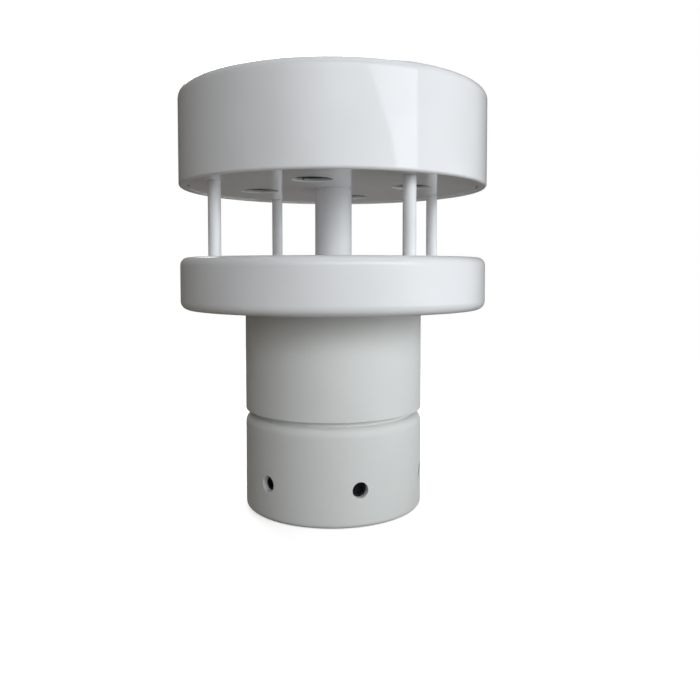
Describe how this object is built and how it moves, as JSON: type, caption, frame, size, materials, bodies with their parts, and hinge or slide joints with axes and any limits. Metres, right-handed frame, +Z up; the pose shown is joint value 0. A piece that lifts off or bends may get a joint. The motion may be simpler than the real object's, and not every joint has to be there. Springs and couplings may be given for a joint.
{
  "type": "ultrasonic wind sensor",
  "caption": "Compact ultrasonic wind sensor: a transducer head over a reflector disc on slim posts, on a neck with a screw-clamped pole socket.",
  "frame": {"origin": "centre of the pole socket's lower face", "axes": "+Z up along the pole's axis towards the head; two of the transducers lie on +X and -X, the other two on +Y and -Y, and the posts stand between them; a grub screw points at +X"},
  "size_m": [0.103, 0.103, 0.1375],
  "materials": {
    "head_gloss": "glossy white moulded ABS, with a cool tint and soft highlights",
    "reflector_gloss": "glossy white moulded ABS, a little softer than the head",
    "body_matte": "matte light grey with a fine even texture and a faint green tint",
    "post_enamel": "white enamel on metal, smooth and fairly glossy",
    "grub_steel": "blackened steel, slightly oily",
    "fastener_steel": "bright turned stainless steel",
    "insert_brass": "plain turned brass",
    "connector_metal": "nickel plated, smooth",
    "connector_plastic": "black moulded plastic",
    "transducer_can": "dark anodised metal with a satin face",
    "seal_rubber": "black moulded rubber",
    "board_laminate": "green solder mask on glass laminate",
    "component_plastic": "black moulded component bodies",
    "white_nylon": "natural white nylon",
    "wire_jacket": "grey insulated wires in a bundle"
  },
  "bodies": {
    "sensor_body": {"board_standoff_1": "white_nylon", "board_standoff_2": "white_nylon", "board_standoff_3": "white_nylon", "cable_connector": "connector_metal", "center_tube": "post_enamel", "connector_insert": "connector_plastic", "connector_nut": "fastener_steel", "connector_seal": "seal_rubber", "floor_seal": "seal_rubber", "harness_header": "white_nylon", "head_board": "board_laminate", "head_cap": "head_gloss", "head_header": "white_nylon", "head_plate": "head_gloss", "head_seal": "seal_rubber", "main_board": "board_laminate", "mounting_collar": "body_matte", "neck_floor": "body_matte", "neck_housing": "body_matte", "neck_screw_1": "fastener_steel", "neck_screw_2": "fastener_steel", "neck_screw_3": "fastener_steel", "neck_screw_4": "fastener_steel", "post_1": "post_enamel", "post_2": "post_enamel", "post_3": "post_enamel", "post_4": "post_enamel", "post_insert_1": "insert_brass", "post_insert_2": "insert_brass", "post_insert_3": "insert_brass", "post_insert_4": "insert_brass", "post_nut_1": "fastener_steel", "post_nut_2": "fastener_steel", "post_nut_3": "fastener_steel", "post_nut_4": "fastener_steel", "power_capacitor": "component_plastic", "processor_chip": "component_plastic", "reflector_base": "reflector_gloss", "reflector_disc": "reflector_gloss", "reflector_seal": "seal_rubber", "transducer_1": "transducer_can", "transducer_2": "transducer_can", "transducer_3": "transducer_can", "transducer_4": "transducer_can", "transducer_retainer": "white_nylon", "transducer_sleeve_1": "seal_rubber", "transducer_sleeve_2": "seal_rubber", "transducer_sleeve_3": "seal_rubber", "transducer_sleeve_4": "seal_rubber", "tube_lower_nut": "fastener_steel", "tube_upper_nut": "fastener_steel", "wire_harness": "wire_jacket"},
    "grub_screw_1": {"grub_screw_1": "grub_steel"},
    "grub_screw_2": {"grub_screw_2": "grub_steel"},
    "grub_screw_3": {"grub_screw_3": "grub_steel"},
    "grub_screw_4": {"grub_screw_4": "grub_steel"},
    "grub_screw_5": {"grub_screw_5": "grub_steel"},
    "grub_screw_6": {"grub_screw_6": "grub_steel"}
  },
  "joints": [
    {"name": "grub_screw_1_travel", "type": "slide", "parent": "sensor_body", "child": "grub_screw_1", "axis": [-1, 0, 0], "range_m": [0, 0.003]},
    {"name": "grub_screw_2_travel", "type": "slide", "parent": "sensor_body", "child": "grub_screw_2", "axis": [-0.5, -0.866, 0], "range_m": [0, 0.003]},
    {"name": "grub_screw_3_travel", "type": "slide", "parent": "sensor_body", "child": "grub_screw_3", "axis": [0.5, -0.866, 0], "range_m": [0, 0.003]},
    {"name": "grub_screw_4_travel", "type": "slide", "parent": "sensor_body", "child": "grub_screw_4", "axis": [1, 0, 0], "range_m": [0, 0.003]},
    {"name": "grub_screw_5_travel", "type": "slide", "parent": "sensor_body", "child": "grub_screw_5", "axis": [0.5, 0.866, 0], "range_m": [0, 0.003]},
    {"name": "grub_screw_6_travel", "type": "slide", "parent": "sensor_body", "child": "grub_screw_6", "axis": [-0.5, 0.866, 0], "range_m": [0, 0.003]}
  ]
}
